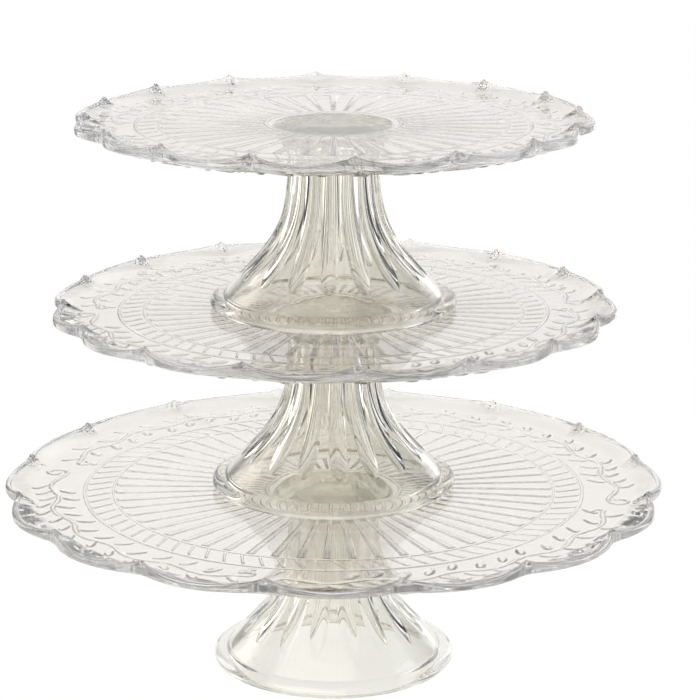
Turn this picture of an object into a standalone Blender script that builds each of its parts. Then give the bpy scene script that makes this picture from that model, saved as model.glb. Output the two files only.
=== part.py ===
"""Three pressed clear-glass cake stands, stacked into one three-tier stand.

Each stand is a scalloped plate bonded to a hollow, fluted pedestal. The middle and upper stands
only rest on the plate below them, so each hangs from an empty on its own vertical lift axis.

Units are metres, +Z is up, and the origin is at the middle of the table contact. Angles round the
stand are measured from the front (-Y) towards the right (+X).
"""

import math

import bmesh
import bpy

COLLECTION_NAME = "three_tier_cake_stand"
TIERS = ("lower", "middle", "upper")

# Gap kept between two faces that touch on the real stand
CONTACT_GAP = 0.0003

# Plates
PLATE_DIAMETER = {"lower": 0.3300, "middle": 0.2794, "upper": 0.2540}
PLATE_TURN_DEG = {"lower": 11.25, "middle": 4.5, "upper": 4.5}
PLATE_GLASS = 0.0050
LOBE_COUNT = 16
LOBE_DEPTH = 0.0065
RIM_WIDTH = 0.0110
RIM_EDGE_RADIUS = 0.0010
RIM_CREST_WIDTH = 0.0020
RIM_WALL_AT_LOBE = 0.0030
RIM_WALL_AT_NOTCH = 0.0058
RIM_WALL_BASE = 0.0042

# Stands and pedestals
STAND_HEIGHT = 0.0970
FOOT_DIAMETER = 0.1220
FOOT_EDGE_HEIGHT = 0.0030
FOOT_BAND_WIDTH = 0.0075
FOOT_CREASE_HEIGHT = 0.0070
FOOT_LAND_WIDTH = 0.0045
HOLLOW_MOUTH_BEVEL = 0.0015
NECK_DIAMETER = 0.0446
COLLAR_DIAMETER = 0.0600
COLLAR_EDGE = 0.0015
COLLAR_FLARE_HEIGHT = 0.0199
TRUMPET_DROP = 0.0290
TRUMPET_POWER = 1.75
PEDESTAL_WALL = 0.0045
WEB_THICKNESS = 0.0090
FLUTE_COUNT = 16
FLUTE_DEPTH = 0.0020
FLUTE_START = 0.0158
FLUTE_FULL = 0.0290
FLUTE_RUNOUT = 0.0084
PEDESTAL_TURN_DEG = {"lower": 11.25, "middle": 3.5, "upper": -3.0}

# Clear bond between a pedestal and its plate
BOND_THICKNESS = 0.0005
BOND_INSET = 0.0010

# Facets, and the shares of a stretch at which an extra ring of facets divides it
UNDERSIDE_CURL_SHARE = 0.40
SHOULDER_SHARE = 0.40
NECK_SHARE = 0.35
HOLLOW_NECK_SHARE = 0.60
HOLLOW_FLARE_SHARES = (0.67, 0.34)
FACETS_PER_LOBE = 6
FACETS_PER_FLUTE = 4
BOND_FACETS = 64
SHARP_ANGLE_DEG = 32

# Worked out from the sizes above, as heights above a stand's own base
LIP_RISE = RIM_WALL_BASE + RIM_WALL_AT_NOTCH - PLATE_GLASS
PLATE_UNDERSIDE = STAND_HEIGHT - LIP_RISE - PLATE_GLASS
PLATE_TOP = PLATE_UNDERSIDE + PLATE_GLASS
BOND_BASE = PLATE_UNDERSIDE - CONTACT_GAP - BOND_THICKNESS
PEDESTAL_HEIGHT = BOND_BASE - CONTACT_GAP
STACK_PITCH = PLATE_TOP + CONTACT_GAP
NECK_TOP = PEDESTAL_HEIGHT - COLLAR_FLARE_HEIGHT
COLLAR_BASE = PEDESTAL_HEIGHT - COLLAR_EDGE
FLUTE_END = COLLAR_BASE - FLUTE_RUNOUT
FOOT_RADIUS = FOOT_DIAMETER / 2
FOOT_CREASE_RADIUS = FOOT_RADIUS - FOOT_BAND_WIDTH
NECK_RADIUS = NECK_DIAMETER / 2
COLLAR_RADIUS = COLLAR_DIAMETER / 2


def direction(angle):
    """Unit vector in plan at an angle from the front, turning to the right."""
    return math.sin(angle), -math.cos(angle)


def between(low, high, share):
    """Value at a share of the way from one value to another."""
    return low + share * (high - low)


def section(count, radius_at, height_at):
    """Closed ring of points whose radius and height may change round it."""
    points = []
    for index in range(count):
        angle = math.tau * index / count
        x, y = direction(angle)
        points.append((radius_at(angle) * x, radius_at(angle) * y, height_at(angle)))
    return points


def loft(name, sections):
    """Closed solid through rings of equal count, with a flat cap on the first and the last."""
    bm = bmesh.new()
    rings = [[bm.verts.new(point) for point in ring] for ring in sections]
    for ring, following in zip(rings, rings[1:]):
        for index in range(len(ring)):
            beyond = (index + 1) % len(ring)
            bm.faces.new((ring[index], ring[beyond], following[beyond], following[index]))
    bm.faces.new(list(reversed(rings[0])))
    bm.faces.new(rings[-1])
    bmesh.ops.recalc_face_normals(bm, faces=bm.faces)
    mesh = bpy.data.meshes.new(name)
    bm.to_mesh(mesh)
    bm.free()
    mesh.shade_smooth()
    mesh.set_sharp_from_angle(angle=math.radians(SHARP_ANGLE_DEG))
    return bpy.data.objects.new(name, mesh)


def notch_share(angle):
    """0 in the middle of a lobe and 1 at the notch beside it; a notch lies at angle 0."""
    across = (angle * LOBE_COUNT / math.tau) % 1.0
    return (2 * across - 1) ** 2


def plate_sections(radius):
    """Rings from the flat underside, round the scalloped rim, to the flat floor on top."""
    count = LOBE_COUNT * FACETS_PER_LOBE
    floor_radius = radius - LOBE_DEPTH - RIM_WIDTH
    edge_base = RIM_WALL_BASE

    def outline(inset):
        return lambda angle: radius - inset - LOBE_DEPTH * notch_share(angle)

    def crest(drop):
        rise = RIM_WALL_AT_NOTCH - RIM_WALL_AT_LOBE
        return lambda angle: edge_base + RIM_WALL_AT_LOBE + rise * notch_share(angle) - drop

    def halfway(angle):
        return between(floor_radius, outline(0)(angle), 0.5)

    def dished(angle):
        return between(PLATE_GLASS, crest(0)(angle), 0.5)

    return [
        section(count, lambda angle: floor_radius, lambda angle: 0.0),
        section(count, halfway, lambda angle: edge_base * UNDERSIDE_CURL_SHARE),
        section(count, outline(RIM_EDGE_RADIUS), lambda angle: edge_base),
        section(count, outline(0), lambda angle: edge_base + RIM_EDGE_RADIUS),
        section(count, outline(0), crest(RIM_EDGE_RADIUS)),
        section(count, outline(RIM_EDGE_RADIUS), crest(0)),
        section(count, outline(RIM_EDGE_RADIUS + RIM_CREST_WIDTH), crest(0)),
        section(count, halfway, dished),
        section(count, lambda angle: floor_radius, lambda angle: PLATE_GLASS),
    ]


def trumpet_radius(height):
    """Outside of the pedestal over its flute ridges: a spread foot, a neck and a collar."""
    fall = (height / TRUMPET_DROP) ** TRUMPET_POWER - (FOOT_CREASE_HEIGHT / TRUMPET_DROP) ** TRUMPET_POWER
    flare = (FOOT_CREASE_RADIUS - NECK_RADIUS) * math.exp(-fall)
    collar_share = max(0.0, (height - NECK_TOP) / (COLLAR_BASE - NECK_TOP))
    collar = (COLLAR_RADIUS - NECK_RADIUS) * min(1.0, collar_share) ** 2
    return NECK_RADIUS + flare + collar


def flute_depth(height):
    """Depth of a flute at a height: it runs in above the foot and out below the collar."""
    start = (height - FLUTE_START) / (FLUTE_FULL - FLUTE_START)
    end = (COLLAR_BASE - height) / FLUTE_RUNOUT
    return FLUTE_DEPTH * math.sqrt(min(1.0, max(0.0, start))) * min(1.0, max(0.0, end))


def fluted(height):
    """Radius round the pedestal at a height; the middle of a flute lies at angle 0."""

    def radius_at(angle):
        across = ((angle * FLUTE_COUNT / math.tau + 0.5) % 1.0) - 0.5
        return trumpet_radius(height) - flute_depth(height) * (1 - (2 * across) ** 2)

    return radius_at


def hollow_radius(height):
    """Inside of the pedestal, one wall behind the bottom of its flutes."""
    step = 0.0001
    slope = (trumpet_radius(height + step) - trumpet_radius(height)) / step
    wall = PEDESTAL_WALL * math.sqrt(1 + slope * slope)
    return trumpet_radius(height) - flute_depth(height) - wall


def pedestal_sections():
    """Rings from the roof of the hollow, down inside, round the foot and up the fluted outside."""
    count = FLUTE_COUNT * FACETS_PER_FLUTE
    hollow_top = PEDESTAL_HEIGHT - WEB_THICKNESS
    hollow_heights = [HOLLOW_NECK_SHARE * hollow_top, FLUTE_FULL]
    hollow_heights += [between(FOOT_CREASE_HEIGHT, FLUTE_FULL, share) for share in HOLLOW_FLARE_SHARES]
    shoulder = between(FOOT_CREASE_HEIGHT, FLUTE_START, SHOULDER_SHARE)
    foot_heights = [FOOT_CREASE_HEIGHT, shoulder, FLUTE_START]
    flute_heights = [between(FLUTE_START, FLUTE_FULL, NECK_SHARE), FLUTE_FULL]
    neck_heights = [between(FLUTE_FULL, NECK_TOP, NECK_SHARE), NECK_TOP, FLUTE_END, COLLAR_BASE]
    land_outer = FOOT_RADIUS - FOOT_EDGE_HEIGHT
    land_inner = land_outer - FOOT_LAND_WIDTH

    def plain(radius, height):
        return section(count, lambda angle: radius, lambda angle: height)

    rings = [plain(min(hollow_radius(hollow_top), hollow_radius(NECK_TOP)), hollow_top)]
    rings += [plain(hollow_radius(height), height) for height in hollow_heights]
    rings.append(plain(land_inner - HOLLOW_MOUTH_BEVEL, HOLLOW_MOUTH_BEVEL))
    rings.append(plain(land_inner, 0.0))
    rings.append(plain(land_outer, 0.0))
    rings.append(plain(FOOT_RADIUS, FOOT_EDGE_HEIGHT))
    for height in foot_heights + flute_heights + neck_heights:
        rings.append(section(count, fluted(height), lambda angle, height=height: height))
    rings.append(plain(COLLAR_RADIUS, PEDESTAL_HEIGHT))
    return rings


def finish_part(obj, material_name, colour, roughness, collection):
    """Give a part its own material and put it in the stand's collection."""
    material = bpy.data.materials.new(material_name)
    material.use_nodes = True
    shader = material.node_tree.nodes["Principled BSDF"]
    shader.inputs["Base Color"].default_value = colour
    shader.inputs["Roughness"].default_value = roughness
    shader.inputs["Metallic"].default_value = 0.0
    shader.inputs["Transmission Weight"].default_value = 1.0
    obj.data.materials.append(material)
    for owner in obj.users_collection:
        owner.objects.unlink(obj)
    collection.objects.link(obj)


def place(obj, parent, height, turn_deg=0.0):
    """Stand a part on its stand's lift axis, turned round it."""
    obj.parent = parent
    obj.location = (0.0, 0.0, height)
    obj.rotation_euler = (0.0, 0.0, math.radians(turn_deg))


def make_bond(name):
    """Thin clear disc of cured adhesive, with its origin in the middle of its lower face."""
    radius = COLLAR_RADIUS - BOND_INSET
    bpy.ops.mesh.primitive_cylinder_add(
        vertices=BOND_FACETS, radius=radius, depth=BOND_THICKNESS, location=(0.0, 0.0, 0.0)
    )
    bond = bpy.context.object
    bond.name = name
    for vertex in bond.data.vertices:
        vertex.co.z += BOND_THICKNESS / 2
    bond.data.shade_smooth()
    bond.data.set_sharp_from_angle(angle=math.radians(SHARP_ANGLE_DEG))
    return bond


def make_stand(tier, base_height, collection):
    """One whole stand: pedestal, bond and plate on an empty at the middle of its foot."""
    lift = bpy.data.objects.new(f"{tier}_stand_lift_axis", None)
    lift.empty_display_size = FOOT_RADIUS
    lift.location = (0.0, 0.0, base_height)
    collection.objects.link(lift)

    pedestal = loft(f"{tier}_pedestal", pedestal_sections())
    place(pedestal, lift, 0.0, PEDESTAL_TURN_DEG[tier])
    finish_part(pedestal, f"{tier}_pedestal_glass", (0.95, 0.96, 0.94, 1.0), 0.03, collection)

    bond = make_bond(f"{tier}_bond")
    place(bond, lift, BOND_BASE)
    finish_part(bond, f"{tier}_bond_adhesive", (0.93, 0.95, 0.93, 1.0), 0.15, collection)

    plate = loft(f"{tier}_plate", plate_sections(PLATE_DIAMETER[tier] / 2))
    place(plate, lift, PLATE_UNDERSIDE, PLATE_TURN_DEG[tier])
    finish_part(plate, f"{tier}_plate_glass", (0.95, 0.97, 0.96, 1.0), 0.03, collection)


def main():
    for obj in list(bpy.data.objects):
        bpy.data.objects.remove(obj)
    collection = bpy.data.collections.new(COLLECTION_NAME)
    bpy.context.scene.collection.children.link(collection)
    for level, tier in enumerate(TIERS):
        make_stand(tier, level * STACK_PITCH, collection)


main()
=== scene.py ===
# %% [markdown]
# # Three-tier cake stand in pressed glass
# Three clear glass stands are stacked: each has a scalloped plate with a pressed pattern, and a
# hollow fluted pedestal bonded under it. The CAD frame holds their sizes, places and lift joints.
# This lesson builds the fine glass around that frame, so it starts by loading the frame.

# %% Load the frame
import math

import bpy
import numpy as np
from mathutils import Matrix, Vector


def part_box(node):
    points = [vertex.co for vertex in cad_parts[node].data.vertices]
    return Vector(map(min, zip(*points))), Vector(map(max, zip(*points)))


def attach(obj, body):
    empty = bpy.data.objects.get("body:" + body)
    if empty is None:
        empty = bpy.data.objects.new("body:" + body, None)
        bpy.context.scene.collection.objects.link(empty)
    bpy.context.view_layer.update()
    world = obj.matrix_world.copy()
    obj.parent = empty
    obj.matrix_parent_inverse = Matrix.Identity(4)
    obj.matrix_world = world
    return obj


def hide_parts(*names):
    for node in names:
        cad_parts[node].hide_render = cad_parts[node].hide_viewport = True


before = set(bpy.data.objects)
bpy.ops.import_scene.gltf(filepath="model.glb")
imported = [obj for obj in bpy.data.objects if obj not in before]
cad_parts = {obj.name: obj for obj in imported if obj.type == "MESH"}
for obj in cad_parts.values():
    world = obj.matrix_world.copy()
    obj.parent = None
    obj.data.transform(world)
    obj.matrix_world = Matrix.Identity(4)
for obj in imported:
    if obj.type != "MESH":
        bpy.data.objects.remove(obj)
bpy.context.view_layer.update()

# %% [markdown]
# Every size that another piece depends on is measured on the frame: the height of each plate and
# pedestal comes from its box, and its radius is the reach of its farthest point from the axis.
# Heights are kept above each stand's own base, so that one recipe serves all three stands.

# %% Measure the stands
TIERS = ("lower", "middle", "upper")


def reach(node_name):
    """Largest distance of a CAD node's points from the common vertical axis."""
    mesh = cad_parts[node_name].data
    points = np.empty(len(mesh.vertices) * 3)
    mesh.vertices.foreach_get("co", points)
    points = points.reshape(-1, 3)
    return float(np.hypot(points[:, 0], points[:, 1]).max())


stands = {}
for tier in TIERS:
    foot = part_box(f"{tier}_pedestal")
    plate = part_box(f"{tier}_plate")
    stands[tier] = {
        "base": foot[0].z,
        "foot_radius": reach(f"{tier}_pedestal"),
        "pedestal_top": foot[1].z - foot[0].z,
        "plate_radius": reach(f"{tier}_plate"),
        "underside": plate[0].z - foot[0].z,
        "bond_radius": reach(f"{tier}_bond"),
    }
    print(tier, {key: round(value, 4) for key, value in stands[tier].items()})

# %% [markdown]
# ## How the glass is meshed
# Pressed glass is turned glass with a pattern that repeats round the axis, so only one sector of a
# piece is worked out. The sector is a skin through rows of points, and a row is a set of angles
# with a radius and a height for each. Rows of equal count are joined by quads. Where the pattern
# gets finer the next row has more points, and the two are zipped together with triangles.
# Lathing a profile would be shorter, but a lathe can't make rays, leaves or scallops.

# %% Rows of points and the skin through them
MM = 0.001
QUARTER = math.tau / 4


def row(angles, radii, heights, frost=0.0):
    """One row of a skin. Angles run from the front (-Y) towards the right (+X)."""
    angles = np.atleast_1d(angles)
    angles, radii, heights, frost = np.broadcast_arrays(angles, radii, heights, frost)
    return {"angles": angles, "radii": radii, "heights": heights, "frost": frost}


def zipper(inner, outer, inner_start, outer_start):
    """Faces between two neighbouring rows, with their outside towards a viewer below the first."""
    count, other = len(inner), len(outer)
    if count == other:
        return [(inner_start + i, inner_start + i + 1, outer_start + i + 1, outer_start + i)
                for i in range(count - 1)]
    faces = []
    i = j = 0
    while i < count - 1 or j < other - 1:
        if j == other - 1 or (i < count - 1 and inner[i + 1] <= outer[j + 1]):
            faces.append((inner_start + i, inner_start + i + 1, outer_start + j))
            i += 1
        else:
            faces.append((inner_start + i, outer_start + j + 1, outer_start + j))
            j += 1
    return faces


# %% A skin through the rows
def skin(name, rows, base, turn):
    """Mesh through the rows, raised to a stand's base and turned with it."""
    points, frost, faces = [], [], []
    start = 0
    for index, this in enumerate(rows):
        angles = this["angles"] + turn
        points.append(np.stack([this["radii"] * np.sin(angles), -this["radii"] * np.cos(angles),
                                this["heights"] + base], axis=1))
        frost.append(this["frost"])
        following = start + len(angles)
        if index + 1 < len(rows):
            faces += zipper(this["angles"], rows[index + 1]["angles"], start, following)
        start = following
    mesh = bpy.data.meshes.new(name)
    mesh.from_pydata(np.concatenate(points).tolist(), [], faces)
    attribute = mesh.attributes.new("frost", "FLOAT", "POINT")
    attribute.data.foreach_set("value", np.concatenate(frost).astype(np.float32))
    return mesh


# %% [markdown]
# ## Repeating a sector round the axis
# A mould for pressed glass is cut sector by sector, and Geometry Nodes does the same here: the
# sector is instanced once for each copy, every instance is turned by its share of a full turn, and
# the copies are realised and welded where their edges meet. A Python loop could copy the points as
# well, but the node tree keeps the count and the weld distance as inputs that anyone can change.

# %% One helper that adds a node
def node(tree, kind, inputs=None, **settings):
    """Add a node, apply its settings, and link or set its inputs by name or number."""
    made = tree.nodes.new(kind)
    for name, value in settings.items():
        setattr(made, name, value)
    for name, value in (inputs or {}).items():
        if isinstance(value, bpy.types.NodeSocket):
            tree.links.new(value, made.inputs[name])
        else:
            made.inputs[name].default_value = value
    return made


# %% The tree that repeats a sector
WELD_DISTANCE = 0.004 * MM
EDGE_GLASS_FROM = 0.5


def make_repeat_tree():
    """Geometry Nodes group: sector, copies, weld distance and glasses in, closed piece out."""
    tree = bpy.data.node_groups.new("repeat_sector_round_axis", "GeometryNodeTree")
    for label, kind in (("Sector", "NodeSocketGeometry"), ("Copies", "NodeSocketInt"),
                        ("Weld distance", "NodeSocketFloat"), ("Glass", "NodeSocketMaterial"),
                        ("Edge glass", "NodeSocketMaterial")):
        tree.interface.new_socket(label, in_out="INPUT", socket_type=kind)
    tree.interface.new_socket("Piece", in_out="OUTPUT", socket_type="NodeSocketGeometry")
    given = node(tree, "NodeGroupInput").outputs
    places = node(tree, "GeometryNodePoints", {"Count": given["Copies"]})
    step = node(tree, "ShaderNodeMath", {0: math.tau, 1: given["Copies"]}, operation="DIVIDE")
    index = node(tree, "GeometryNodeInputIndex")
    angle = node(tree, "ShaderNodeMath", {0: index.outputs[0], 1: step.outputs[0]},
                 operation="MULTIPLY")
    euler = node(tree, "ShaderNodeCombineXYZ", {"Z": angle.outputs[0]})
    turned = node(tree, "FunctionNodeEulerToRotation", {0: euler.outputs[0]})
    copies = node(tree, "GeometryNodeInstanceOnPoints",
                  {"Points": places.outputs[0], "Instance": given["Sector"],
                   "Rotation": turned.outputs[0]})
    real = node(tree, "GeometryNodeRealizeInstances", {"Geometry": copies.outputs[0]})
    welded = node(tree, "GeometryNodeMergeByDistance",
                  {"Geometry": real.outputs[0], "Distance": given["Weld distance"]})
    smooth = node(tree, "GeometryNodeSetShadeSmooth",
                  {"Geometry": welded.outputs[0], "Shade Smooth": True})
    clear = node(tree, "GeometryNodeSetMaterial",
                 {"Geometry": smooth.outputs[0], "Material": given["Glass"]})
    frost = node(tree, "GeometryNodeInputNamedAttribute", {"Name": "frost"}, data_type="FLOAT")
    hazy = node(tree, "FunctionNodeCompare", {0: frost.outputs[0], 1: EDGE_GLASS_FROM},
                data_type="FLOAT", operation="GREATER_THAN")
    finished = node(tree, "GeometryNodeSetMaterial",
                    {"Geometry": clear.outputs[0], "Selection": hazy.outputs[0],
                     "Material": given["Edge glass"]})
    node(tree, "NodeGroupOutput", {0: finished.outputs[0]})
    return tree


REPEAT_TREE = make_repeat_tree()
print("repeat tree:", len(REPEAT_TREE.nodes), "nodes")


# %% Turn a sector into a finished piece
def repeat_round(name, sector, copies, glass, edge_glass=None):
    """Plain mesh object made of copies of a sector, with one glass or a second one on its edge."""
    carrier = bpy.data.objects.new(name + "_sector", sector)
    bpy.context.scene.collection.objects.link(carrier)
    modifier = carrier.modifiers.new("Repeat round axis", "NODES")
    modifier.node_group = REPEAT_TREE
    values = {"Copies": copies, "Weld distance": WELD_DISTANCE, "Glass": glass,
              "Edge glass": edge_glass or glass}
    for item in REPEAT_TREE.interface.items_tree:
        if item.in_out == "INPUT" and item.name in values:
            modifier[item.identifier] = values[item.name]
    evaluated = carrier.evaluated_get(bpy.context.evaluated_depsgraph_get())
    mesh = bpy.data.meshes.new_from_object(evaluated)
    mesh.name = name
    bpy.data.objects.remove(carrier)
    bpy.data.meshes.remove(sector)
    piece = bpy.data.objects.new(name, mesh)
    bpy.context.scene.collection.objects.link(piece)
    triangles = sum(len(polygon.vertices) - 2 for polygon in mesh.polygons)
    print(name, "has", triangles, "triangles")
    return piece


# %% [markdown]
# ## The glass
# The stands are soda-lime glass, pressed in an iron mould and then fire polished. Old pressed glass
# holds a trace of warm grey, seen where it is thick, and it bends light by an index of 1.52.
# What the eye sees is the floor and the lights, bent by each ridge. Fire polishing leaves the faces
# glossy but faintly wavy, about a centimetre from wave to wave. The rim, where the mould parts,
# stays hazy and sends back an eighth of the light as plain white, so it looks soft grey. The grain
# of that haze is far too fine to see, and is drawn 0.8 mm wide so that it shows. Real refraction is
# used, and not a transparent mix, because the pattern is on the underside and shows only through
# bent light.

# %% Colours
def srgb(code, alpha=1.0):
    """Linear colour from an sRGB hex code."""
    parts = [int(code[i:i + 2], 16) / 255 for i in (1, 3, 5)]
    linear = [part / 12.92 if part <= 0.04045 else ((part + 0.055) / 1.055) ** 2.4
              for part in parts]
    return (*linear, alpha)


# %% Pressed glass
GLASS_IOR = 1.52
WAVE_SPACING = 12 * MM
HAZE_SPACING = 0.8 * MM
HAZE_FULL = 0.6
HAZE_HEIGHT = 0.02 * MM
POLISHED_ROUGHNESS = 0.012


def pressed_glass(name, tint, second_tint, wave_height, rim_roughness, clearness=1.0):
    """Fire-polished soda-lime glass, hazier where the frost attribute is 1."""
    material = bpy.data.materials.new(name)
    material.use_nodes = True
    tree = material.node_tree
    tree.nodes.clear()
    place = node(tree, "ShaderNodeTexCoord").outputs["Object"]
    waves = node(tree, "ShaderNodeTexNoise",
                 {"Vector": place, "Scale": 1 / WAVE_SPACING, "Detail": 1.0})
    haze = node(tree, "ShaderNodeTexNoise",
                {"Vector": place, "Scale": 1 / HAZE_SPACING, "Detail": 2.0})
    frost = node(tree, "ShaderNodeAttribute", attribute_name="frost")
    grain = node(tree, "ShaderNodeMath", {0: haze.outputs["Fac"], 1: frost.outputs["Fac"]},
                 operation="MULTIPLY")
    roughness = node(tree, "ShaderNodeMapRange",
                     {"Value": grain.outputs[0], "From Max": HAZE_FULL,
                      "To Min": POLISHED_ROUGHNESS, "To Max": rim_roughness})
    colour = node(tree, "ShaderNodeMix",
                  {"Factor": waves.outputs["Fac"], 6: srgb(tint), 7: srgb(second_tint)},
                  data_type="RGBA")
    rippled = node(tree, "ShaderNodeBump",
                   {"Height": waves.outputs["Fac"], "Distance": wave_height, "Strength": 1.0})
    grained = node(tree, "ShaderNodeBump",
                   {"Height": grain.outputs[0], "Distance": HAZE_HEIGHT, "Strength": 1.0,
                    "Normal": rippled.outputs[0]})
    shader = node(tree, "ShaderNodeBsdfPrincipled",
                  {"Base Color": colour.outputs[2], "Roughness": roughness.outputs[0],
                   "IOR": GLASS_IOR, "Transmission Weight": clearness,
                   "Normal": grained.outputs[0]})
    node(tree, "ShaderNodeOutputMaterial", {"Surface": shader.outputs[0]})
    return material


# %% The three glasses and the cured adhesive
PLATE_GLASS = pressed_glass("pressed_soda_lime_plate", "#F1EEE9", "#EDEBE7", 0.05 * MM, 0.14)
RIM_GLASS = pressed_glass("pressed_soda_lime_rim", "#F4F2F0", "#EEEDEE", 0.05 * MM, 0.14,
                          clearness=0.87)
PEDESTAL_GLASS = pressed_glass("pressed_soda_lime_pedestal", "#EEEDE6", "#EAE9E2", 0.06 * MM, 0.10)
BOND_CLEAR = pressed_glass("cured_clear_acrylic", "#F4F7F3", "#F7F8F4", 0.01 * MM, 0.12)
print("glass materials:", PLATE_GLASS.name, RIM_GLASS.name, PEDESTAL_GLASS.name, BOND_CLEAR.name)

# %% [markdown]
# ## The plate's outline
# The edge of a plate has 16 shallow lobes. Between two lobes the edge dips in to a notch, where the
# rim also stands higher and carries a small pressed scroll. All of it follows from one number, how
# far a point lies from the middle of its lobe, so a few formulas give the edge and its height.

# %% Scalloped rim
LOBES = 16
LOBE_DEPTH = 6.5 * MM
RIM_WIDTH = 11.0 * MM
PLATE_GLASS_THICKNESS = 5.0 * MM
RIM_BASE = 4.2 * MM
WALL_AT_LOBE = 3.0 * MM
WALL_AT_NOTCH = 5.8 * MM
SCROLL_HALF_ANGLE = math.radians(1.45)
SCROLL_REACH = 1.3 * MM
SCROLL_RISE = 1.0 * MM
SCROLL_GROOVES = 0.28
SCROLL_GROOVE_TURNS = 2.2


def from_notch(angles):
    """Signed angle to the nearest notch, as a share of the spacing between notches."""
    return (angles * LOBES / math.tau + 0.5) % 1.0 - 0.5


def notch_share(angles):
    """0 in the middle of a lobe and 1 in a notch."""
    return (1 - 2 * np.abs(from_notch(angles))) ** 2


def scroll(angles):
    """Height share of the small scroll in each notch: a swelling with two fine grooves."""
    across = from_notch(angles) * (math.tau / LOBES) / SCROLL_HALF_ANGLE
    swelling = np.clip(1 - across ** 2, 0, None)
    grooves = SCROLL_GROOVES * np.cos(across * math.pi * SCROLL_GROOVE_TURNS)
    return swelling * (1 - SCROLL_GROOVES + grooves)


def outline(angles, radius):
    """Radius of the plate's edge."""
    return radius - LOBE_DEPTH * notch_share(angles) + SCROLL_REACH * scroll(angles)


# %% Heights of the rim and of the underside
def crest(angles):
    """Height of the rim's top above the plate's flat underside."""
    rise = (WALL_AT_NOTCH - WALL_AT_LOBE) * notch_share(angles)
    return RIM_BASE + WALL_AT_LOBE + rise + SCROLL_RISE * scroll(angles)


def underside(angles, radii, radius):
    """Height of the plain underside: flat to the floor's edge, then swept up to the rim's wall.

    The sweep is halfway between a parabola and an S-curve, so it leaves the floor softly.
    """
    floor_edge = radius - LOBE_DEPTH - RIM_WIDTH
    share = np.clip((radii - floor_edge) / (outline(angles, radius) - floor_edge), 0, 1)
    return RIM_BASE * share * share * (3 - 2 * share) * 0.5 + RIM_BASE * share * share * 0.5


print("rim: lowest in a lobe", round(float(crest(math.tau / LOBES / 2)) / MM, 2),
      "mm, highest in a notch", round(float(crest(0.0)) / MM, 2), "mm")


# %% [markdown]
# ## The pressed pattern
# The pattern is pressed into the underside and stands about 0.8 mm proud: rays from the hub to an
# inner ring, a rope band of slanted bars, an outer ring, and a vine with leaves on both sides. A
# bump map would not do, because the lines are seen as light bent at real edges. Each feature is a
# formula that gives its height at a point, and the rows of points are laid along the features so
# that their edges stay crisp.

# %% Shape of a ridge and of its ends
HUB_RING = {"radius": 33.0 * MM, "width": 2.0 * MM, "height": 0.5 * MM}
INNER_RING = {"share": 0.670, "width": 1.4 * MM, "height": 0.65 * MM}
OUTER_RING = {"share": 0.757, "width": 1.8 * MM, "height": 0.7 * MM}
PROFILE_STEPS = (-1.2, -1.0, -0.85, -0.6, 0.6, 0.85, 1.0, 1.2)
FLAT_SHARE = 0.5


def ridge(offset, height):
    """Flat-topped ridge with steep sides; the offset is 1 at its edge."""
    side = np.clip((np.square(offset) - FLAT_SHARE) / (1 - FLAT_SHARE), 0, 1)
    return height * (1 - side ** 2)


def rounded_end(distance, length):
    """1 along a bar and falling to 0 at its end, as a quarter circle does."""
    return np.sqrt(1 - (1 - np.clip(distance / length, 0, 1)) ** 2)


def ring_rows(angles, ring, radius, level):
    """Rows over one raised ring."""
    return [row(angles, radius + step * ring["width"] / 2, level - ridge(step, ring["height"]))
            for step in PROFILE_STEPS]


def spaced_ridges(count, half_width):
    """Offset from the nearest ridge and that ridge's angle, for evenly spaced ridges."""
    pitch = QUARTER / count
    steps = np.array([-pitch / 2 / half_width, *PROFILE_STEPS])
    offsets = np.append(np.tile(steps, count), -pitch / 2 / half_width)
    centres = np.append(np.repeat(np.arange(count) + 0.5, len(steps)), count + 0.5) * pitch
    return offsets, centres


# %% Rays from the hub to the inner ring
RAY_WIDTH = math.radians(2.1)
RAYS_AT_THAT_WIDTH = 56
RAY_HEIGHT = 0.85 * MM
RAY_GAPS = (1.5 * MM, 1.1 * MM)
RAY_CAP = 2.0 * MM
RAY_CAP_SHARES = np.array([0, 0.1, 0.3, 0.6, 1.0])
HUB_FLAT_MARGIN = 3 * MM


def ray_rows(plate):
    """Underside from the middle, over the hub ring and along the rays, to the inner ring."""
    level = plate["underside"]
    half = RAY_WIDTH / 2 * RAYS_AT_THAT_WIDTH / plate["rays"]
    offsets, centres = spaced_ridges(plate["rays"] // 4, half)
    angles = centres + offsets * half
    inner = INNER_RING["share"] * plate["radius"]
    hub = HUB_RING["radius"]
    rows = [row(0.0, 0.0, level),
            row(angles[::len(PROFILE_STEPS) + 1], hub - HUB_FLAT_MARGIN, level)]
    rows += ring_rows(angles, HUB_RING, hub, level)
    start, end = hub + RAY_GAPS[0], inner - RAY_GAPS[1]
    stations = np.concatenate([start + RAY_CAP * RAY_CAP_SHARES,
                               end - RAY_CAP * RAY_CAP_SHARES[::-1]])
    for station in stations:
        ends = rounded_end(station - start, RAY_CAP) * rounded_end(end - station, RAY_CAP)
        rows.append(row(angles, station, level - ridge(offsets, RAY_HEIGHT) * ends))
    return rows + ring_rows(angles, INNER_RING, inner, level)


# %% Slanted bars of the rope band
BAR_WIDTH = 1.5 * MM
BAR_HEIGHT = 0.75 * MM
BAR_LEAN = math.radians(2.9)
BAR_GAPS = (0.6 * MM, 0.5 * MM)
BAR_CAP = 1.0 * MM
BAR_CAP_SHARES = np.array([0, 0.2, 0.5, 1.0])
BAND_GROUND = (0.35 * MM, 0.25 * MM)


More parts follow.
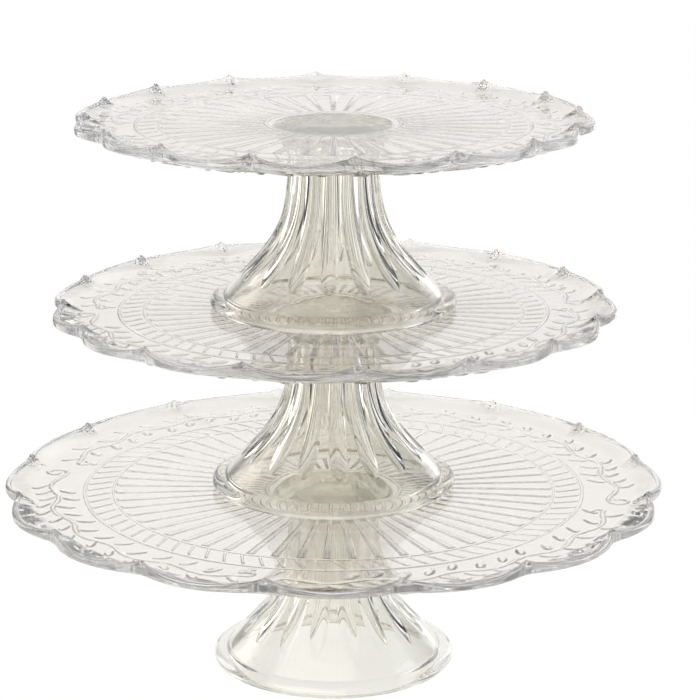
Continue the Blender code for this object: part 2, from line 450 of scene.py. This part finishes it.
def bar_rows(plate):
    """Underside from the inner ring to the outer ring, with bars that lean as they run out."""
    inner = INNER_RING["share"] * plate["radius"] + INNER_RING["width"] / 2
    outer = OUTER_RING["share"] * plate["radius"] - OUTER_RING["width"] / 2
    start, end = inner + BAR_GAPS[0], outer - BAR_GAPS[1]
    stations = np.concatenate([[inner + BAND_GROUND[0]], start + BAR_CAP * BAR_CAP_SHARES,
                               np.linspace(start + BAR_CAP, end - BAR_CAP, 4)[1:-1],
                               end - BAR_CAP * BAR_CAP_SHARES[::-1], [outer - BAND_GROUND[1]]])
    rows = []
    for station in stations:
        half = BAR_WIDTH * plate["scale"] / 2 / station
        offsets, centres = spaced_ridges(plate["bars"] // 4, half)
        lean = BAR_LEAN * (station - inner) / (outer - inner)
        ends = rounded_end(station - start, BAR_CAP) * rounded_end(end - station, BAR_CAP)
        height = ridge(offsets, BAR_HEIGHT) * ends
        rows.append(row(centres + offsets * half + lean, station, plate["underside"] - height))
    return rows


# %% [markdown]
# ## The vine and its leaves
# Four garlands run round the plate. Each starts in an outward curl behind a notch, goes on in five
# waves and ends in a small hook. The stem is worked out as one path in flat coordinates, along and
# across the band, and the height at a point depends on its distance from that path. Leaves are
# ovals on both sides of the stem, tilted like a feather's barbs and set wider apart as it runs on.

# %% Path of the stem
STEM_RADIUS_SHARE = 0.85
STEM_AMPLITUDE = 2.3 * MM
STEM_WAVES = 5
STEM_START = math.radians(2.0)
STEM_END = math.radians(84.5)
STEM_WIDTH = 1.8 * MM
STEM_HEIGHT = 0.8 * MM
CURL_RADII = (6.0 * MM, 2.0 * MM)
CURL_TURN = math.radians(320)
CURL_POINTS = 90
WAVE_POINTS = 500
HOOK_RADIUS = 2.5 * MM
HOOK_TURN = math.radians(200)
HOOK_POINTS = 40


def stem_offset(angles):
    """Distance of the stem outwards from its mean radius, at full size."""
    along = np.clip(angles % QUARTER, STEM_START, STEM_END) - STEM_START
    wave = math.tau * STEM_WAVES / (STEM_END - STEM_START)
    return -STEM_AMPLITUDE * np.cos(along * wave)


def stem_path(plate):
    """Points along one garland's curl, waves and hook, as (along, across) in metres."""
    mean, scale = STEM_RADIUS_SHARE * plate["radius"], plate["scale"]
    turn = np.linspace(1, 0, CURL_POINTS)
    spin = turn * CURL_TURN
    size = (CURL_RADII[0] + (CURL_RADII[1] - CURL_RADII[0]) * turn) * scale
    centre = (STEM_START * mean, -STEM_AMPLITUDE * scale + CURL_RADII[0] * scale)
    curl = np.stack([centre[0] - size * np.sin(spin), centre[1] - size * np.cos(spin)], axis=1)
    angles = np.linspace(STEM_START, STEM_END, WAVE_POINTS)
    waves = np.stack([angles * mean, stem_offset(angles) * scale], axis=1)
    spin = np.linspace(0, HOOK_TURN, HOOK_POINTS)
    radius = HOOK_RADIUS * scale
    hook = np.stack([STEM_END * mean + radius * np.sin(spin),
                     -STEM_AMPLITUDE * scale - radius * (1 - np.cos(spin))], axis=1)
    path = np.concatenate([curl, waves, hook])
    beyond = np.array([QUARTER * mean, 0])
    return np.concatenate([path - beyond, path, path + beyond])


# %% Leaves, placed in degrees along a garland, and the height of the band
LEAF_LENGTH = 9.6 * MM
LEAF_WIDTH = 3.9 * MM
LEAF_HEIGHT = 0.65 * MM
LEAVES = {
    -1: {"first": 15.0, "step": 4.9, "stretch": 0.07, "count": 13,
         "from_stem": 6.3 * MM, "tilt": 37.0},
    1: {"first": 11.5, "step": 3.4, "stretch": 0.16, "count": 14,
        "from_stem": 5.6 * MM, "tilt": 40.0},
}


def leaf_height(plate, angles, radii, side):
    """Height of the leaves on one side of the stem: side is 1 outside it and -1 inside it."""
    mean, scale, leaves = STEM_RADIUS_SHARE * plate["radius"], plate["scale"], LEAVES[side]
    index = np.arange(leaves["count"])[:, None]
    centre = np.radians(leaves["first"] + leaves["step"] * index + leaves["stretch"] * index ** 2)
    along = (angles % QUARTER - centre) * mean
    across = radii - mean - (stem_offset(centre) + side * leaves["from_stem"]) * scale
    tilt = side * math.radians(leaves["tilt"])
    length = (across * math.cos(tilt) + along * math.sin(tilt)) / (LEAF_LENGTH * scale / 2)
    width = (along * math.cos(tilt) - across * math.sin(tilt)) / (LEAF_WIDTH * scale / 2)
    nearest = np.sqrt((length ** 2 + width ** 2).min(axis=0))
    return ridge(nearest, LEAF_HEIGHT)


def vine_height(plate, angles, radii):
    """Height of stem and leaves together."""
    mean = STEM_RADIUS_SHARE * plate["radius"]
    here = np.stack([(angles % QUARTER) * mean, radii - mean], axis=1)
    gaps = here[:, None, :] - plate["path"][None, :, :]
    nearest = np.sqrt((gaps ** 2).sum(axis=2).min(axis=1))
    stem = ridge(nearest / (STEM_WIDTH * plate["scale"] / 2), STEM_HEIGHT)
    leaves = np.maximum(leaf_height(plate, angles, radii, 1), leaf_height(plate, angles, radii, -1))
    return np.maximum(stem, leaves)


# %% Rows of the vine band
VINE_COLUMN = 0.84 * MM
VINE_ROW = 0.70 * MM
CURL_ZONE = (math.radians(-3.2), math.radians(6.0))
BAND_END_FROM_NOTCH = 4.5 * MM
ACROSS_STEM = (-0.85, -0.5, 0.5, 0.85)


def vine_rows(plate):
    """Underside from the outer ring to the foot of the rim, along the waves of the stem."""
    radius, level = plate["radius"], plate["underside"]
    ring, mean = OUTER_RING["share"] * radius, STEM_RADIUS_SHARE * radius
    count = round(QUARTER * STEM_RADIUS_SHARE * radius / VINE_COLUMN)
    angles = np.linspace(0, QUARTER, count + 1)
    middles = (angles[:-1] + angles[1:]) / 2
    phase = (middles + BAR_LEAN + QUARTER / 2) % QUARTER - QUARTER / 2
    near_curl = (phase > CURL_ZONE[0]) & (phase < CURL_ZONE[1])
    angles = np.sort(np.concatenate([angles, middles[near_curl]])) + BAR_LEAN
    rows = ring_rows(angles, OUTER_RING, ring, level)
    start = ring + OUTER_RING["width"]
    end = radius - LOBE_DEPTH - BAND_END_FROM_NOTCH
    stem = mean + stem_offset(angles) * plate["scale"]
    half = STEM_WIDTH * plate["scale"] / 2
    inner_steps = np.linspace(0, 1, round((mean - start) / VINE_ROW))
    outer_steps = np.linspace(0, 1, round((end - mean) / VINE_ROW))
    lines = [start + (stem - half - start) * step for step in inner_steps]
    lines += [stem + half * step for step in ACROSS_STEM]
    lines += [stem + half + (end - stem - half) * step for step in outer_steps]
    for radii in lines:
        height = vine_height(plate, angles, radii)
        rows.append(row(angles, radii, level + underside(angles, radii, radius) - height))
    return rows


# %% [markdown]
# ## Rim and top
# Outside the pattern the glass sweeps up to the rim. Its wall has a small rounding below and a
# larger one above, the crest is about 2 mm wide with a step down behind it, and the dished top runs
# in to the flat floor. The floor is plain, so it closes with a few long triangles.

# %% Angles of the rim
SCROLL_COLUMNS = 14
LOBE_COLUMNS = 20
SCROLL_MARGIN = 1.1


def rim_angles():
    """Angles over four lobes, closer together at the scrolls."""
    half = SCROLL_HALF_ANGLE * LOBES / math.tau * SCROLL_MARGIN
    near = np.linspace(-half, half, SCROLL_COLUMNS + 1)
    far = np.linspace(half, 1 - half, LOBE_COLUMNS + 1)[1:-1]
    shares = np.concatenate([near, far])
    lobes = np.concatenate([shares + lobe for lobe in range(LOBES // 4)])
    return np.append(lobes, lobes[0] + LOBES // 4) * math.tau / LOBES


print("columns over four lobes:", len(rim_angles()))

# %% Rows of the rim and the top
EDGE_ROUND = 0.6 * MM
CREST_ROUND = 1.2 * MM
CREST_WIDTH = 2.1 * MM
CREST_STEP = 0.9 * MM
STEP_WIDTH = 1.0 * MM
STEP_FALL = ((0.0, 0.0), (0.25, 0.12), (0.55, 0.5), (0.8, 0.85), (1.0, 1.0))
DISH_SHARES = (0.93, 0.78, 0.6, 0.42, 0.25, 0.1, 0.0)
DISH_POWER = 1.8
FLOOR_COLUMNS = 24
FLOOR_RING_SHARE = 0.6
FROST = {"sweep": 0.3, "wall": 1.0, "crest": 0.9, "step": 0.6}


def rim_rows(plate):
    """From the foot of the rim, up its wall, over the crest and in to the middle of the floor."""
    radius, low = plate["radius"], plate["underside"]
    angles = rim_angles()
    edge = outline(angles, radius)
    top = crest(angles)
    floor_edge = radius - LOBE_DEPTH - RIM_WIDTH
    start = radius - LOBE_DEPTH - BAND_END_FROM_NOTCH
    rows = []
    for share in (0.12, 0.3, 0.5, 0.7, 0.85):
        radii = start + (edge - EDGE_ROUND - start) * share
        rows.append(row(angles, radii, low + underside(angles, radii, radius),
                        frost=FROST["sweep"] * share))
    for degrees in (-90, -60, -30, 0):
        bend = math.radians(degrees)
        height = low + RIM_BASE + EDGE_ROUND * (1 + math.sin(bend))
        rows.append(row(angles, edge - EDGE_ROUND * (1 - math.cos(bend)), height,
                        frost=FROST["wall"]))
    wall_low, wall_high = RIM_BASE + EDGE_ROUND, top - CREST_ROUND
    rows += [row(angles, edge, low + wall_low + (wall_high - wall_low) * share,
                 frost=FROST["wall"]) for share in (0.25, 0.5, 0.75)]
    for degrees in (0, 22.5, 45, 67.5, 90):
        bend = math.radians(degrees)
        height = low + top - CREST_ROUND * (1 - math.sin(bend))
        rows.append(row(angles, edge - CREST_ROUND * (1 - math.cos(bend)), height,
                        frost=FROST["crest"]))
    for inset, drop in STEP_FALL:
        radii = edge - CREST_WIDTH - inset * STEP_WIDTH
        rows.append(row(angles, radii, low + top - CREST_STEP * drop,
                        frost=FROST["step"] * (1 - drop)))
    dish_edge = edge - CREST_WIDTH - STEP_WIDTH
    rise = top - CREST_STEP - PLATE_GLASS_THICKNESS
    for share in DISH_SHARES:
        radii = floor_edge + (dish_edge - floor_edge) * share
        rows.append(row(angles, radii, low + PLATE_GLASS_THICKNESS + rise * share ** DISH_POWER))
    sparse = np.linspace(angles[0], angles[-1], FLOOR_COLUMNS + 1)
    rows.append(row(sparse, FLOOR_RING_SHARE * floor_edge, low + PLATE_GLASS_THICKNESS))
    rows.append(row(0.0, 0.0, low + PLATE_GLASS_THICKNESS))
    return rows


# %% Make the three plates
FULL_RADIUS = 165.0 * MM
PATTERN = {
    "lower": {"rays": 56, "bars": 80, "turn": math.radians(-11.25)},
    "middle": {"rays": 52, "bars": 72, "turn": math.radians(4.5)},
    "upper": {"rays": 40, "bars": 56, "turn": math.radians(4.5)},
}
pieces = {}
for tier in TIERS:
    plate = dict(PATTERN[tier], radius=stands[tier]["plate_radius"],
                 underside=stands[tier]["underside"])
    plate["scale"] = plate["radius"] / FULL_RADIUS
    plate["path"] = stem_path(plate)
    rows = ray_rows(plate) + bar_rows(plate) + vine_rows(plate) + rim_rows(plate)
    sector = skin(f"{tier}_plate_sector", rows, stands[tier]["base"], plate["turn"])
    pieces[f"{tier}_plate"] = repeat_round(f"{tier}_plate_glass", sector, 4, PLATE_GLASS, RIM_GLASS)

# %% [markdown]
# ## The pedestal
# A pedestal is a hollow trumpet: a wide foot with a rounded edge, a sweep up to the neck and a
# short collar under the plate. Sixteen long scoops are pressed into it. Each keeps nearly the same
# width, so the flat lands between them narrow to sharp ridges at the neck, and each ends below in a
# rounded tip. One scoop with its two half lands is the sector. The columns of points follow the
# edge of the scoop, which keeps that edge sharp all the way round the tip.

# %% Outside of the pedestal
FLUTES = 16
FLUTE_PITCH = math.tau / FLUTES
NECK_RADIUS = 22.3 * MM
COLLAR_RADIUS = 30.0 * MM
COLLAR_EDGE = 1.5 * MM
COLLAR_FLARE = 19.9 * MM
FOOT_EDGE = 3.0 * MM
FOOT_BAND = 7.5 * MM
CREASE_HEIGHT = 7.0 * MM
TRUMPET_DROP = 29.0 * MM
TRUMPET_POWER = 1.75
SCOOP_HALF_WIDTH = 4.3 * MM
SCOOP_DEPTH = 2.0 * MM
SCOOP_START = 15.8 * MM
SCOOP_TIP = 9.0 * MM
SCOOP_RUNOUT = 8.4 * MM
WIDEST_SCOOP = 0.47


def trumpet(height, stand):
    """Radius of the pedestal over its lands and ridges."""
    crease = stand["foot_radius"] - FOOT_BAND
    fall = (max(height, 0) / TRUMPET_DROP) ** TRUMPET_POWER
    fall -= (CREASE_HEIGHT / TRUMPET_DROP) ** TRUMPET_POWER
    flare = (crease - NECK_RADIUS) * math.exp(-fall)
    flare_start = stand["pedestal_top"] - COLLAR_FLARE
    share = (height - flare_start) / (COLLAR_FLARE - COLLAR_EDGE)
    return NECK_RADIUS + flare + (COLLAR_RADIUS - NECK_RADIUS) * min(max(share, 0), 1) ** 2


# %% Width and depth of a scoop
def scoop_growth(height):
    """Width of a scoop as a share of its full width: a round tip, then 1."""
    return float(rounded_end(height - SCOOP_START, SCOOP_TIP))


def scoop_share(height, stand):
    """Half width of a scoop as a share of the flute spacing."""
    widest = min(WIDEST_SCOOP, SCOOP_HALF_WIDTH / (trumpet(height, stand) * FLUTE_PITCH))
    return widest * scoop_growth(height)


def scoop_depth(height, stand):
    """Depth in the middle of a scoop, running out below the collar."""
    runout = (stand["pedestal_top"] - COLLAR_EDGE - height) / SCOOP_RUNOUT
    return SCOOP_DEPTH * scoop_growth(height) * min(max(runout, 0), 1)


# %% Rows up the outside
ACROSS_SCOOP = np.array([-1, -0.93, -0.78, -0.6, -0.4, -0.2, 0, 0.2, 0.4, 0.6, 0.78, 0.93, 1])
ACROSS_LAND = np.array([0.1, 0.35, 0.7, 1.0])
NARROWEST_COLUMNS = 0.05


def flute_row(height, stand):
    """One row over half a land, a scoop and half a land."""
    share = scoop_share(height, stand)
    spread = max(share, NARROWEST_COLUMNS)
    land = spread + (0.5 - spread) * ACROSS_LAND
    across = np.concatenate([-land[::-1], spread * ACROSS_SCOOP, land])
    cut = np.zeros(len(across))
    if share > 0:
        cut = scoop_depth(height, stand) * np.clip(1 - (across / share) ** 2, 0, None)
    return row(across * FLUTE_PITCH, trumpet(height, stand) - cut, height)


def outside_heights(stand):
    """Heights of the rows, closest together round the tips of the scoops."""
    band = np.linspace(CREASE_HEIGHT + 0.5 * MM, SCOOP_START - 0.3 * MM, 9)
    tip = SCOOP_START + SCOOP_TIP * (1 - np.cos(np.linspace(0, math.pi / 2, 27)))
    neck_top = stand["pedestal_top"] - COLLAR_FLARE
    neck = np.linspace(SCOOP_START + SCOOP_TIP, neck_top, 20)[1:]
    collar = np.linspace(neck_top, stand["pedestal_top"] - COLLAR_EDGE, 15)[1:]
    return np.concatenate([band, tip, neck, collar])


print("rows up the outside of a pedestal:", len(outside_heights(stands["lower"])))


# %% Wall of the hollow
PEDESTAL_WALL = 4.5 * MM
SCOOP_BACK_FROM = 14 * MM
SCOOP_BACK_OVER = 20 * MM
SLOPE_STEP = 0.1 * MM


def hollow(height, stand):
    """Radius of the hollow: one wall behind the bottom of the scoops."""
    above, below = trumpet(height + SLOPE_STEP, stand), trumpet(height - SLOPE_STEP, stand)
    slope = (above - below) / (2 * SLOPE_STEP)
    share = min(max((height - SCOOP_BACK_FROM) / SCOOP_BACK_OVER, 0), 1)
    depth = SCOOP_DEPTH * share * share * (3 - 2 * share)
    return trumpet(height, stand) - depth - PEDESTAL_WALL * math.sqrt(1 + slope * slope)


neck_hollow = hollow(60 * MM, stands["lower"])
print("hollow inside the neck:", round(2 * neck_hollow / MM, 1), "mm across")

# %% Profile of the foot
LAND_WIDTH = 4.5 * MM
LAND_MARGINS = (0.8 * MM, 0.6 * MM)
LAND_CORNER = 0.4 * MM
INNER_EDGE = (0.9 * MM, 1.6 * MM)
HOLLOW_MOUTH = 13.0 * MM
MOUTH_CORNER = (2.6 * MM, 5.5 * MM)
BAND_CORNER = (0.4 * MM, 0.2 * MM)


def bend(start, corner, end, steps):
    """Points on a smooth bend from start to end that a corner pulls outwards."""
    shares = np.linspace(0, 1, steps + 1)[1:]
    return [tuple((1 - t) ** 2 * a + 2 * t * (1 - t) * b + t * t * c
                  for a, b, c in zip(start, corner, end))
            for t in shares]


def foot_profile(stand):
    """(radius, height) pairs from the mouth of the hollow, over the land, to the crease."""
    rim = stand["foot_radius"]
    land_out = rim - FOOT_EDGE
    land_in = land_out - LAND_WIDTH
    mouth = (hollow(HOLLOW_MOUTH, stand), HOLLOW_MOUTH)
    inner_edge = (land_in - INNER_EDGE[0], INNER_EDGE[1])
    points = bend(mouth, (land_in - MOUTH_CORNER[0], MOUTH_CORNER[1]), inner_edge, 7)
    points += bend(inner_edge, (land_in - LAND_CORNER, 0.0), (land_in + LAND_MARGINS[0], 0.0), 4)
    points += [(land_out - LAND_MARGINS[1], 0.0)]
    for degrees in (-75, -55, -35, -15, 0):
        angle = math.radians(degrees)
        points.append((land_out + FOOT_EDGE * math.cos(angle), FOOT_EDGE * (1 + math.sin(angle))))
    crease = (rim - FOOT_BAND, CREASE_HEIGHT)
    corner = (rim - BAND_CORNER[0], CREASE_HEIGHT - BAND_CORNER[1])
    return points + bend((rim, FOOT_EDGE), corner, crease, 9)


print("points round the foot:", len(foot_profile(stands["lower"])))

# %% All rows of a pedestal
ROOF_DEPTH = 9.0 * MM
DOME_RISE = 2.5 * MM
HOLLOW_COLUMNS = 6
HOLLOW_ROWS = 30
TOP_CORNER = (0.5 * MM, 0.15 * MM)
FOOT_FROST = 0.2


def pedestal_rows(stand):
    """Roof of the hollow, down inside, round the foot and up the fluted outside to the top."""
    plain = np.linspace(-0.5, 0.5, HOLLOW_COLUMNS + 1) * FLUTE_PITCH
    roof = stand["pedestal_top"] - ROOF_DEPTH
    shoulder = roof - DOME_RISE
    neck = hollow(shoulder, stand)
    rows = [row(0.0, 0.0, roof)]
    rows += [row(plain, neck * 0.5, roof), row(plain, neck - DOME_RISE, roof)]
    for angle in np.linspace(0, math.pi / 2, 7)[1:]:
        rows.append(row(plain, neck - DOME_RISE * (1 - math.sin(angle)),
                        shoulder + DOME_RISE * math.cos(angle)))
    rows += [row(plain, hollow(height, stand), height)
             for height in np.linspace(shoulder, HOLLOW_MOUTH, HOLLOW_ROWS)[1:]]
    rows += [row(plain, radius, height, frost=FOOT_FROST)
             for radius, height in foot_profile(stand)]
    rows += [flute_row(height, stand) for height in outside_heights(stand)]
    top = stand["pedestal_top"]
    wide = rows[-1]["angles"]
    rows += [row(wide, COLLAR_RADIUS, top - TOP_CORNER[0]),
             row(wide, COLLAR_RADIUS - TOP_CORNER[1], top - TOP_CORNER[1]),
             row(wide, COLLAR_RADIUS - TOP_CORNER[0], top), row(0.0, 0.0, top)]
    return rows


# %% Make the three pedestals
PEDESTAL_TURN_DEG = {"lower": 11.25, "middle": 3.5, "upper": -3.0}
for tier in TIERS:
    sector = skin(f"{tier}_pedestal_sector", pedestal_rows(stands[tier]), stands[tier]["base"],
                  math.radians(PEDESTAL_TURN_DEG[tier]))
    pieces[f"{tier}_pedestal"] = repeat_round(f"{tier}_pedestal_glass", sector, FLUTES,
                                              PEDESTAL_GLASS)

# %% [markdown]
# ## The bond
# Pedestal and plate are joined with a film of clear adhesive. Its edge is a small round meniscus,
# so the disc is a skin of a few rows with a rounded side. Adhesive wets both glasses, so the film
# reaches a hair into each: an air gap would mirror the light and show as a dark disc under the
# plate.

# %% Make the three bonds
BOND_WETTING = 0.05 * MM


def bond_rows(stand):
    """Thin disc with a rounded edge, wetting both glasses."""
    low, high = stand["pedestal_top"] - BOND_WETTING, stand["underside"] + BOND_WETTING
    radius = stand["bond_radius"]
    half = (high - low) / 2
    angles = np.linspace(0, QUARTER, 33)
    rows = [row(0.0, 0.0, low)]
    for degrees in (-90, -60, -30, 0, 30, 60, 90):
        turn = math.radians(degrees)
        rows.append(row(angles, radius - half * (1 - math.cos(turn)),
                        low + half * (1 + math.sin(turn))))
    return rows + [row(0.0, 0.0, high)]


for tier in TIERS:
    sector = skin(f"{tier}_bond_sector", bond_rows(stands[tier]), stands[tier]["base"], 0.0)
    pieces[f"{tier}_bond"] = repeat_round(f"{tier}_bond_film", sector, 4, BOND_CLEAR)

# %% [markdown]
# ## Riding on the frame
# Each stand is one body, so its plate, pedestal and bond ride together when it is lifted. Every
# piece stands for the CAD node it was measured on.

# %% Ride and replace
for name, piece in pieces.items():
    tier, part = name.split("_")
    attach(piece, f"{tier}_stand")
    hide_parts(name)
    piece.visible_shadow = False
    piece.visible_diffuse = False
print("pieces riding:", sorted(pieces))

# %% [markdown]
# ## Floor and light
# Clear glass shows what is round it, so the stand is lit as glassware is in a studio: a pale floor
# and background light the glass from behind, and darker places to the sides draw the edges grey.
# Bright white panels between the dark places add white streaks along the flutes. The far end of the
# room is pale as well, so that the glass also looks clear from behind. The glass casts no shadow on
# the floor, because its real shadow is as pale as the floor and would come out far too dark here.

# %% Pale floor
FLOOR_RADIUS = 0.5
FLOOR_SIDES = 96
STIPPLE_PER_METRE = 60.0


def painted_board():
    """Matt white painted board, with a faint unevenness from the roller."""
    material = bpy.data.materials.new("matt_white_painted_board")
    material.use_nodes = True
    tree = material.node_tree
    tree.nodes.clear()
    place = node(tree, "ShaderNodeTexCoord").outputs["Object"]
    stipple = node(tree, "ShaderNodeTexNoise",
                   {"Vector": place, "Scale": STIPPLE_PER_METRE, "Detail": 2.0})
    colour = node(tree, "ShaderNodeMix",
                  {"Factor": stipple.outputs["Fac"], 6: srgb("#FAFAF9"), 7: srgb("#FCFCFB")},
                  data_type="RGBA")
    shader = node(tree, "ShaderNodeBsdfPrincipled",
                  {"Base Color": colour.outputs[2], "Roughness": 0.9, "Specular IOR Level": 0.1})
    node(tree, "ShaderNodeOutputMaterial", {"Surface": shader.outputs[0]})
    return material


def make_floor():
    """Round white board just under the lowest foot."""
    mesh = bpy.data.meshes.new("floor")
    angles = np.linspace(0, math.tau, FLOOR_SIDES + 1)[:-1]
    ring = [(FLOOR_RADIUS * math.sin(a), -FLOOR_RADIUS * math.cos(a), 0.0) for a in angles]
    mesh.from_pydata(ring, [], [tuple(range(len(ring)))])
    mesh.materials.append(painted_board())
    floor = bpy.data.objects.new("floor", mesh)
    bpy.context.scene.collection.objects.link(floor)
    return floor


floor = make_floor()
print("floor:", 2 * FLOOR_RADIUS, "m across")

# %% Zones of the surroundings
PANELS_PER_TURN = 5.0
BACKDROP_CORE = math.radians(16)
BACKDROP_EDGE = math.radians(30)
REAR_CORE = math.radians(122)
REAR_EDGE = math.radians(100)
PANEL_FADE = (-0.1, 0.5)
CEILING_FADE = (0.5, 0.8)


def studio_zones(tree, parts):
    """Shares of white panel, pale backdrop and ceiling in a direction given by its parts."""
    turn = node(tree, "ShaderNodeMath", {0: parts[0], 1: parts[1]}, operation="ARCTAN2")
    stripes = node(tree, "ShaderNodeMath", {0: turn.outputs[0], 1: PANELS_PER_TURN},
                   operation="MULTIPLY")
    stripes = node(tree, "ShaderNodeMath", {0: stripes.outputs[0]}, operation="SINE")
    panels = node(tree, "ShaderNodeMapRange",
                  {"Value": stripes.outputs[0], "From Min": PANEL_FADE[0],
                   "From Max": PANEL_FADE[1]}, interpolation_type="SMOOTHSTEP")
    side = node(tree, "ShaderNodeMath", {0: turn.outputs[0]}, operation="ABSOLUTE")
    front = node(tree, "ShaderNodeMapRange",
                 {"Value": side.outputs[0], "From Min": BACKDROP_EDGE, "From Max": BACKDROP_CORE},
                 interpolation_type="SMOOTHSTEP")
    rear = node(tree, "ShaderNodeMapRange",
                {"Value": side.outputs[0], "From Min": REAR_EDGE, "From Max": REAR_CORE},
                interpolation_type="SMOOTHSTEP")
    backdrop = node(tree, "ShaderNodeMath", {0: front.outputs[0], 1: rear.outputs[0]},
                    operation="MAXIMUM")
    overhead = node(tree, "ShaderNodeMapRange",
                    {"Value": parts[2], "From Min": CEILING_FADE[0], "From Max": CEILING_FADE[1]},
                    interpolation_type="SMOOTHSTEP")
    return panels.outputs[0], backdrop.outputs[0], overhead.outputs[0]


# %% Colours of the surroundings
STUDIO_DARK = "#2C353F"
STUDIO_CEILING = "#858C94"
WARM_WHITE = "#FFF9F0"
COOL_WHITE = "#F4F7FF"


def studio_colour(tree, to_the_right, panels, backdrop, overhead):
    """Dark and white round the stand, a little warmer on the left, with a grey ceiling."""
    hue = node(tree, "ShaderNodeMapRange",
               {"Value": to_the_right, "From Min": -1.0, "From Max": 1.0})
    white = node(tree, "ShaderNodeMix",
                 {0: hue.outputs[0], 6: srgb(WARM_WHITE), 7: srgb(COOL_WHITE)}, data_type="RGBA")
    around = node(tree, "ShaderNodeMix", {0: panels, 6: srgb(STUDIO_DARK), 7: white.outputs[2]},
                  data_type="RGBA")
    around = node(tree, "ShaderNodeMix", {0: backdrop, 6: around.outputs[2], 7: white.outputs[2]},
                  data_type="RGBA")
    around = node(tree, "ShaderNodeMix",
                  {0: overhead, 6: around.outputs[2], 7: srgb(STUDIO_CEILING)}, data_type="RGBA")
    return around.outputs[2]


# %% Surroundings
PANEL_LIFT = 1.15


def make_world():
    """Pale background for the camera; grey surroundings with soft white panels for the glass."""
    world = bpy.data.worlds.new("studio")
    bpy.context.scene.world = world
    world.use_nodes = True
    tree = world.node_tree
    tree.nodes.clear()
    way = node(tree, "ShaderNodeTexCoord").outputs["Generated"]
    parts = node(tree, "ShaderNodeSeparateXYZ", {0: way}).outputs
    panels, backdrop, overhead = studio_zones(tree, parts)
    around = studio_colour(tree, parts[0], panels, backdrop, overhead)
    seen = node(tree, "ShaderNodeLightPath").outputs["Is Camera Ray"]
    tint = node(tree, "ShaderNodeMix", {0: seen, 6: around, 7: srgb("#FFFFFF")}, data_type="RGBA")
    aside = node(tree, "ShaderNodeMath", {0: 1.0, 1: backdrop}, operation="SUBTRACT")
    below = node(tree, "ShaderNodeMath", {0: 1.0, 1: overhead}, operation="SUBTRACT")
    lift = node(tree, "ShaderNodeMath", {0: panels, 1: aside.outputs[0]}, operation="MULTIPLY")
    lift = node(tree, "ShaderNodeMath", {0: lift.outputs[0], 1: below.outputs[0]},
                operation="MULTIPLY")
    level = node(tree, "ShaderNodeMath", {0: lift.outputs[0], 1: PANEL_LIFT, 2: 1.0},
                 operation="MULTIPLY_ADD")
    strength = node(tree, "ShaderNodeMix", {0: seen, 2: level.outputs[0], 3: 1.0},
                    data_type="FLOAT")
    light = node(tree, "ShaderNodeBackground",
                 {"Color": tint.outputs[2], "Strength": strength.outputs[0]})
    node(tree, "ShaderNodeOutputWorld", {"Surface": light.outputs[0]})


make_world()
print("panels round the stand:", int(PANELS_PER_TURN))

# %% Soft key light
KEY_STRENGTH = 2.12
KEY_SPREAD = math.radians(70)
KEY_TILT = math.radians(35)
KEY_TURN = math.radians(-30)


def make_key():
    """Broad soft light from above and behind the camera's left shoulder."""
    light = bpy.data.lights.new("key", "SUN")
    light.energy = KEY_STRENGTH
    light.angle = KEY_SPREAD
    light.color = srgb("#FFFBF5")[:3]
    lamp = bpy.data.objects.new("key", light)
    lamp.rotation_euler = (KEY_TILT, 0.0, KEY_TURN)
    bpy.context.scene.collection.objects.link(lamp)


make_key()
print("key light:", KEY_STRENGTH, "from a disc", round(math.degrees(KEY_SPREAD)), "degrees wide")

# %% [markdown]
# A look through the stack crosses more than a dozen glass faces, and a path of light that is cut
# off on the way comes out black. So light may cross 23 faces here. Longer paths are those caught in
# a ridge, which real glass would absorb too, and their loss draws the fine dark lines of the
# pattern.

# %% Light paths and view
LIGHT_CROSSINGS = 23
scene = bpy.context.scene
scene.cycles.max_bounces = LIGHT_CROSSINGS
scene.cycles.transmission_bounces = LIGHT_CROSSINGS
scene.cycles.glossy_bounces = LIGHT_CROSSINGS // 2
scene.view_settings.view_transform = "Standard"
print("light may cross", LIGHT_CROSSINGS, "faces")

# %% [markdown]
# ## Camera
# The camera looks slightly down on the stand from the front through a long lens, so that the lowest
# plate is seen more from above than the highest.

# %% Camera
CAMERA_DISTANCE = 1.2505
CAMERA_HEIGHT = 0.4954
CAMERA_PITCH = 0.2608
CAMERA_LENS_MM = 133.9
CAMERA_SENSOR_MM = 36.0
CAMERA_SHIFT = 0.0207


def make_camera():
    """Long lens at the front, with the object a little left of the middle."""
    data = bpy.data.cameras.new("camera")
    data.sensor_width = CAMERA_SENSOR_MM
    data.lens = CAMERA_LENS_MM
    data.shift_x = CAMERA_SHIFT
    camera = bpy.data.objects.new("camera", data)
    camera.location = (0.0, -CAMERA_DISTANCE, CAMERA_HEIGHT)
    camera.rotation_euler = (math.pi / 2 - CAMERA_PITCH, 0.0, 0.0)
    bpy.context.scene.collection.objects.link(camera)
    bpy.context.scene.camera = camera


make_camera()
print("camera:", CAMERA_DISTANCE, "m in front and", CAMERA_HEIGHT, "m up")
